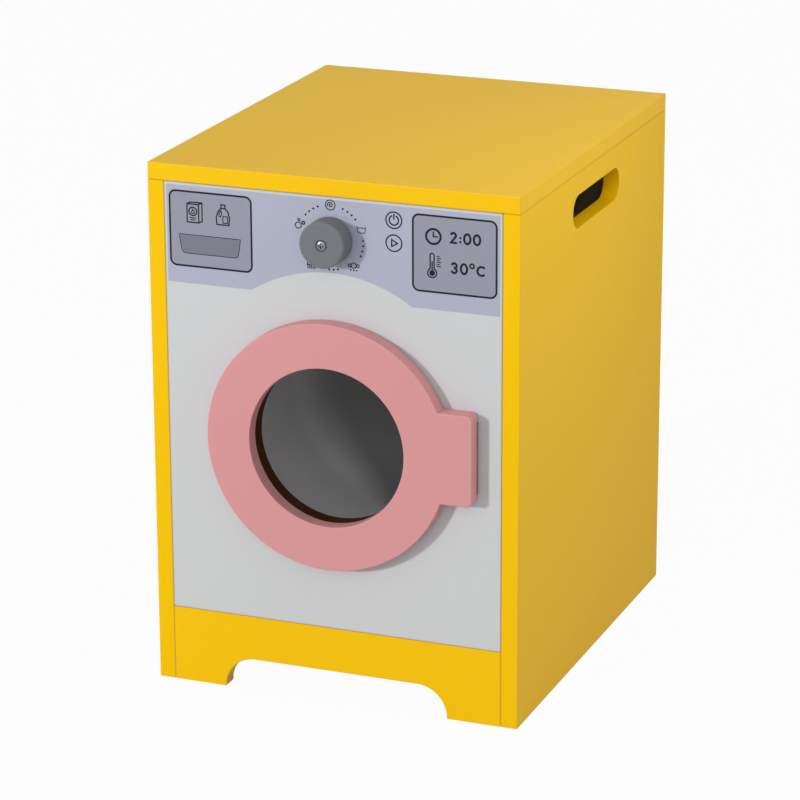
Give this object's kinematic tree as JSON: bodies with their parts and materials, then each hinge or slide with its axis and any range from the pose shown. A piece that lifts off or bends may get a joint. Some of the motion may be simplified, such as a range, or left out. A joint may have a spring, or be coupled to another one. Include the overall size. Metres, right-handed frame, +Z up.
{
  "type": "toy washing machine",
  "caption": "Toy washing machine: board cabinet with hand slots and an arched kick board, a round hinged door with a smoked window, a laundry tub behind it and a turning knob.",
  "frame": {"origin": "on the floor, in the middle of the bounding box's width and depth", "axes": "+Z up, -Y towards the door and the controls, +X towards the hinge side"},
  "size_m": [0.4, 0.4964, 0.56],
  "materials": {
    "yellow_paint": "satin painted board",
    "white_paint": "satin painted board",
    "pink_paint": "satin painted board",
    "grey_paint": "matt painted turned wood",
    "grey_laminate": "dark laminated board",
    "hardboard": "smooth pressed fibre board",
    "beech": "bare dowel wood",
    "print_film": "printed self-adhesive film",
    "tub_plastic": "smooth moulded plastic",
    "smoked_acrylic": "clear smoked sheet",
    "zinc_steel": "bright zinc plated",
    "nickel_magnet": "nickel plated"
  },
  "bodies": {
    "cabinet": {"top_panel": "yellow_paint", "left_side_panel": "yellow_paint", "right_side_panel": "yellow_paint", "front_panel": "white_paint", "kick_board": "yellow_paint", "bottom_panel": "grey_laminate", "back_panel": "hardboard", "top_dowels": "beech", "front_dowels": "beech", "bottom_dowels": "beech", "cam_locks": "zinc_steel", "cam_bolts": "zinc_steel", "back_panel_screws": "zinc_steel", "control_film": "print_film", "laundry_tub": "tub_plastic", "tub_screws": "zinc_steel", "strike_plate": "zinc_steel", "strike_screw": "zinc_steel", "hinge_cabinet_leaf": "zinc_steel", "hinge_pin": "zinc_steel", "hinge_cabinet_screws": "zinc_steel", "knob_bolt": "zinc_steel", "knob_front_washer": "zinc_steel", "knob_rear_washer": "zinc_steel", "knob_lock_nut": "zinc_steel"},
    "door": {"door_ring": "pink_paint", "door_window": "smoked_acrylic", "window_screws": "zinc_steel", "door_magnet": "nickel_magnet", "hinge_door_leaf": "zinc_steel", "hinge_door_screws": "zinc_steel"},
    "knob": {"knob": "grey_paint"}
  },
  "joints": [
    {"name": "door_hinge", "type": "hinge", "parent": "cabinet", "child": "door", "pos_m": [0.1554, -0.22465, 0.288], "axis": [0, 0, 1], "range_deg": [0, 90]},
    {"name": "knob_turn", "type": "hinge", "parent": "cabinet", "child": "knob", "pos_m": [0, -0.23515, 0.498], "axis": [0, 1, 0], "continuous": true}
  ]
}
